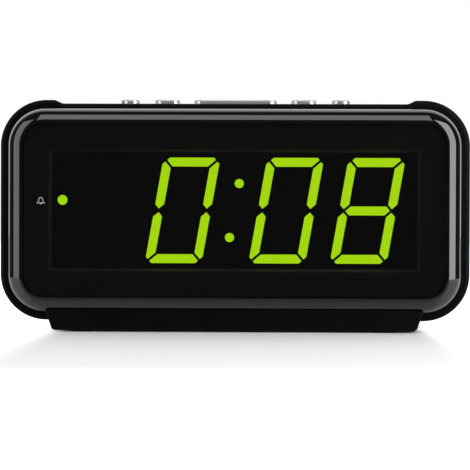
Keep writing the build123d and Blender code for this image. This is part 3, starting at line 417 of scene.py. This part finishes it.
# studio: white surroundings behind the clock, a dark room in front, two tall softboxes and one overhead
studio = {
    "floorHalf": 1.5, "floorColour": "#e6e6e6", "floorRoughness": 0.8, "floorSheen": 0.2,
    "fill": (0.25, 1.1),          # what lights dull surfaces, from the front and from behind
    "fillEdge": (-0.4, 0.5),
    "room": 0.055,                # what gloss sees of the room in front
    "backEdge": (0.46, 0.66),     # where the white surroundings begin, as depth plus a share of height
    "backRise": 0.34,             # that share
    "dimColour": "#404040",       # the floor in front, out of the light, as gloss sees it
    "dimFrom": (-0.01, 0.1),      # how far in front that begins
    "dimSide": 0.06,              # how wide it is there, to each side
    "dimSlope": (0.6, 0.25),     # and how fast it widens, per distance in front
    "goneAway": (0.249, 0.25),    # how far from the clock the floor ends, as gloss sees it, like a table
    "goneTurn": (-0.451, -0.45),  # except behind, past this distance in front per distance aside
    "shadeMiddle": 0.002,         # middle of the shadow that the floor keeps round the stand
    "shadeSide": (0.057, 0.062),  # its half-width
    "shadeSpread": 0.25,          # how fast its edge softens, per distance in front or behind
    "shadeFront": (0.165, 0.23),  # where it fades out in front
    "shadeBack": (-0.03, -0.12),  # and behind
    "floorLift": 0.9,             # glow that lifts the rest of the floor to white for the camera
    "softboxes": {                # middle, turn about Z, tilt down, width, height, radiance
        "left": ((-0.343, -0.2765, 0.1538), -57.1, 0.0, 0.339, 0.5075, 1.55),
        "right": ((0.322, -0.286, 0.1538), 51.0, 0.0, 0.345, 0.5075, 3.7),
        "top": ((-0.02, -0.627, 0.71), 0.0, 45.8, 0.53, 0.655, 1.6),
    },
}


def whiteRoom():
    world = bpy.data.worlds.new("studio")
    bpy.context.scene.world = world
    world.use_nodes = True
    tree = world.node_tree
    tree.nodes.clear()
    place = addNode(tree, "ShaderNodeTexCoord")
    path = addNode(tree, "ShaderNodeLightPath")
    direction = addNode(tree, "ShaderNodeSeparateXYZ", links={0: (place, "Generated")})
    depth = addNode(tree, "ShaderNodeMath", settings={"operation": "MULTIPLY_ADD"},
                    values={1: studio["backRise"]}, links={0: (direction, "Z"), 2: (direction, "Y")})
    behind = addNode(tree, "ShaderNodeMapRange", settings={"interpolation_type": "SMOOTHSTEP"},
                     values={"From Min": studio["backEdge"][0], "From Max": studio["backEdge"][1],
                             "To Min": studio["room"], "To Max": 1.0},
                     links={"Value": (depth, 0)})
    clear = addNode(tree, "ShaderNodeMath", settings={"operation": "MAXIMUM"},
                    links={0: (path, "Is Glossy Ray"), 1: (path, "Is Transmission Ray")})
    sharp = addNode(tree, "ShaderNodeMath", settings={"operation": "SUBTRACT", "use_clamp": True},
                    links={0: (clear, 0), 1: (path, "Diffuse Depth")})
    fill = addNode(tree, "ShaderNodeMapRange", settings={"interpolation_type": "SMOOTHSTEP"},
                   values={"From Min": studio["fillEdge"][0], "From Max": studio["fillEdge"][1],
                           "To Min": studio["fill"][0], "To Max": studio["fill"][1]},
                   links={"Value": (direction, "Y")})
    around = addNode(tree, "ShaderNodeMix", links={0: (sharp, 0), 2: (fill, 0), 3: (behind, 0)})
    strength = addNode(tree, "ShaderNodeMix", values={3: 1.0},
                       links={0: (path, "Is Camera Ray"), 2: (around, 0)})
    glow = addNode(tree, "ShaderNodeBackground", values={"Color": white}, links={"Strength": (strength, 0)})
    addNode(tree, "ShaderNodeOutputWorld", links={"Surface": (glow, 0)})


def softbox(name, middle, turn, tilt, width, height, radiance):
    # a flat lamp that faces the clock; its power is radiance times area times pi
    lamp = bpy.data.lights.new(name, "AREA")
    lamp.shape = "RECTANGLE"
    lamp.size, lamp.size_y = width, height
    lamp.energy = radiance * width * height * math.pi
    obj = bpy.data.objects.new(name, lamp)
    bpy.context.scene.collection.objects.link(obj)
    obj.matrix_world = (Matrix.Translation(middle) @ Matrix.Rotation(math.radians(turn), 4, "Z")
                        @ Matrix.Rotation(math.radians(90 - tilt), 4, "X"))
    obj.visible_camera = False


def paperFloor():
    # a level square of white paper; gloss sees it darken in front of the clock, like the room, and end
    # not far off, and the camera sees it lifted to white away from the shadow round the stand
    half = studio["floorHalf"]
    side = np.linspace(-half, half, 2)
    x, y = np.meshgrid(side, side)
    points = np.stack([x.ravel(), y.ravel(), np.zeros(x.size)], axis=1)
    floor = addPiece("floor", points, [(0, 1, 3, 2)])
    material, tree, place = startMaterial("seamless_paper_white")
    path = addNode(tree, "ShaderNodeLightPath")
    spot = addNode(tree, "ShaderNodeSeparateXYZ", links={0: (place, "Object")})
    aside = addNode(tree, "ShaderNodeMath", settings={"operation": "ABSOLUTE"}, links={0: (spot, "X")})
    ahead = addNode(tree, "ShaderNodeMath", settings={"operation": "MULTIPLY"},
                    values={1: -1.0}, links={0: (spot, "Y")})
    beyond = addNode(tree, "ShaderNodeMath", settings={"operation": "SUBTRACT"},
                     values={1: studio["dimSide"]}, links={0: (aside, 0)})
    slope = addNode(tree, "ShaderNodeMath", settings={"operation": "DIVIDE"},
                    links={0: (beyond, 0), 1: (ahead, 0)})
    turn = addNode(tree, "ShaderNodeMath", settings={"operation": "DIVIDE"},
                   links={0: (ahead, 0), 1: (aside, 0)})
    reach = addNode(tree, "ShaderNodeVectorMath", settings={"operation": "LENGTH"},
                    links={0: (place, "Object")})
    shift = addNode(tree, "ShaderNodeMath", settings={"operation": "SUBTRACT"},
                    values={1: studio["shadeMiddle"]}, links={0: (spot, "X")})
    beside = addNode(tree, "ShaderNodeMath", settings={"operation": "ABSOLUTE"}, links={0: (shift, 0)})
    far, within, remote, forward, across, front, back = [
        addNode(tree, "ShaderNodeMapRange", settings={"interpolation_type": "SMOOTHSTEP"},
                values={"From Min": studio[key][0], "From Max": studio[key][1]}, links={"Value": source})
        for key, source in (
            ("dimFrom", (ahead, 0)), ("dimSlope", (slope, 0)), ("goneAway", (reach, "Value")),
            ("goneTurn", (turn, 0)), ("shadeSide", (beside, 0)), ("shadeFront", (ahead, 0)),
            ("shadeBack", (ahead, 0)))]
    away = addNode(tree, "ShaderNodeMath", settings={"operation": "ABSOLUTE"}, links={0: (spot, "Y")})
    edge = addNode(tree, "ShaderNodeMath", settings={"operation": "MULTIPLY_ADD"},
                   values={1: studio["shadeSpread"], 2: studio["shadeSide"][1]}, links={0: (away, 0)})
    tree.links.new(edge.outputs[0], across.inputs["From Max"])
    room = addNode(tree, "ShaderNodeMath", settings={"operation": "MULTIPLY"},
                   links={0: (far, 0), 1: (within, 0)})
    gone = addNode(tree, "ShaderNodeMath", settings={"operation": "MULTIPLY"},
                   links={0: (remote, 0), 1: (forward, 0)})
    hidden = addNode(tree, "ShaderNodeMath", settings={"operation": "MULTIPLY"},
                     links={0: (path, "Is Glossy Ray"), 1: (gone, 0)})
    cover = addNode(tree, "ShaderNodeMath", settings={"operation": "SUBTRACT"},
                    values={0: 1.0}, links={1: (hidden, 0)})
    dim = addNode(tree, "ShaderNodeMath", settings={"operation": "MULTIPLY"},
                  links={0: (path, "Is Glossy Ray"), 1: (room, 0)})
    colour = addNode(tree, "ShaderNodeMix", settings={"data_type": "RGBA"},
                     values={6: linear(studio["floorColour"]), 7: linear(studio["dimColour"])},
                     links={0: (dim, 0)})
    ends = addNode(tree, "ShaderNodeMath", settings={"operation": "MAXIMUM"},
                   links={0: (front, 0), 1: (back, 0)})
    outside = addNode(tree, "ShaderNodeMath", settings={"operation": "MAXIMUM"},
                      links={0: (across, 0), 1: (ends, 0)})
    seen = addNode(tree, "ShaderNodeMath", settings={"operation": "MULTIPLY"},
                   links={0: (outside, 0), 1: (path, "Is Camera Ray")})
    lift = addNode(tree, "ShaderNodeMath", settings={"operation": "MULTIPLY"},
                   values={1: studio["floorLift"]}, links={0: (seen, 0)})
    shader = addNode(tree, "ShaderNodeBsdfPrincipled",
                     values={"Roughness": studio["floorRoughness"], "Specular IOR Level": studio["floorSheen"],
                             "Emission Color": white},
                     links={"Base Color": (colour, 2), "Emission Strength": (lift, 0), "Alpha": (cover, 0)})
    endMaterial(tree, shader)
    floor.data.materials.append(material)


whiteRoom()
for name, values in studio["softboxes"].items():
    softbox(name, *values)
paperFloor()
print("studio lit")

# camera: level with the display, a long lens, turned a hair as the photograph is
camera = {"imageSide": 470, "focalPx": 2115.0, "distance": 0.7, "across": 14.78, "height": 43.5,
          "yaw": -1.183, "pitch": -0.907, "roll": 0.19, "sensor": 36.0, "clip": (0.01, 20)}
lens = bpy.data.cameras.new("camera")
lens.sensor_width = camera["sensor"]
lens.lens = camera["focalPx"] / camera["imageSide"] * camera["sensor"]
lens.clip_start, lens.clip_end = camera["clip"]
viewer = bpy.data.objects.new("camera", lens)
bpy.context.scene.collection.objects.link(viewer)
viewer.matrix_world = (
    Matrix.Translation((camera["across"] * mm, cadBox[0].y - camera["distance"], camera["height"] * mm))
    @ Matrix.Rotation(math.radians(-camera["yaw"]), 4, "Z")
    @ Matrix.Rotation(math.radians(90 + camera["pitch"]), 4, "X")
    @ Matrix.Rotation(math.radians(camera["roll"]), 4, "Z"))
bpy.context.scene.camera = viewer
bpy.context.scene.view_settings.view_transform = "Standard"

print("done")
